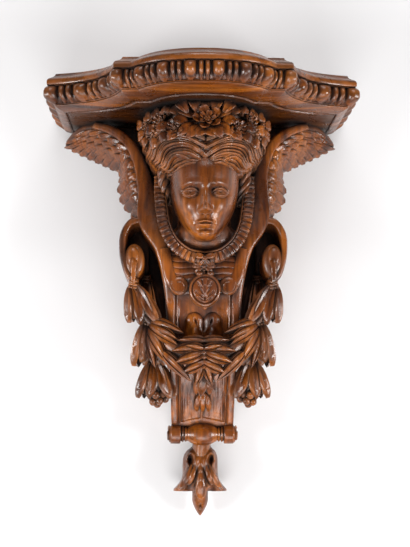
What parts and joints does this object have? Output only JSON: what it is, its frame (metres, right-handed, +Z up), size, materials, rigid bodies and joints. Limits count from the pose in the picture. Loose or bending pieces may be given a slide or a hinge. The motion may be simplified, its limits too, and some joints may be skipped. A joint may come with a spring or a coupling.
{
  "type": "carved wall bracket",
  "caption": "Carved walnut wall bracket: a moulded gadrooned shelf on a body with a winged head, pleated collar, side scrolls, leaf garlands, roller and acanthus drop.",
  "frame": {"origin": "on the flat back, on the middle line, 100 mm below the top of the shelf", "axes": "+X to the right seen from the front, +Y into the wall, +Z up"},
  "size_m": [0.448, 0.2928, 0.6207],
  "materials": {
    "walnut_shelf": "dark walnut, waxed, satin to glossy, darker in the hollows",
    "walnut_carving": "walnut, waxed and rubbed bright on the high parts, nearly black in the hollows"
  },
  "bodies": {
    "root": {"shelf": "walnut_shelf", "carved_body": "walnut_carving"}
  },
  "joints": []
}
